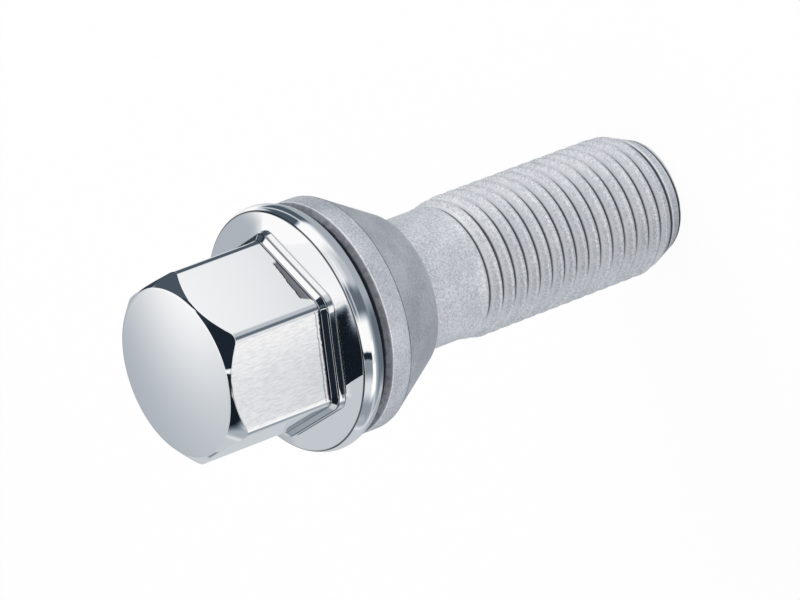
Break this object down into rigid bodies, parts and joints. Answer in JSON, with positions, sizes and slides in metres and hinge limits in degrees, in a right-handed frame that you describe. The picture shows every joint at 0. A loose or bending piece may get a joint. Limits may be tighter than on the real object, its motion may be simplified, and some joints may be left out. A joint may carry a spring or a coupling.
{
  "type": "wheel bolt with captive conical seat ring",
  "caption": "Wheel bolt with a bright capped hexagon head and flange, a loose conical seat ring that turns on the shank, and a fine thread with a chamfered tip.",
  "frame": {"origin": "centre of the flat end face at the threaded tip, on the surface it stands on", "axes": "+Z along the bolt's axis from the tip up to the head; +X through a corner of the hexagon, +Y through the middle of a flat"},
  "size_m": [0.0239, 0.0238, 0.0565],
  "materials": {
    "zinc_flake_steel": "matte light grey zinc flake coating on forged steel",
    "bright_cap": "mirror bright pressed sheet, lightly brushed on one flat",
    "seat_ring_steel": "matte grey coating with a fine grain"
  },
  "bodies": {
    "bolt_body": {"bolt": "zinc_flake_steel", "cap": "bright_cap"},
    "ring_body": {"seat_ring": "seat_ring_steel"}
  },
  "joints": [
    {"name": "ring_spin", "type": "hinge", "parent": "bolt_body", "child": "ring_body", "pos_m": [0, 0, 0.0363], "axis": [0, 0, 1], "continuous": true}
  ]
}
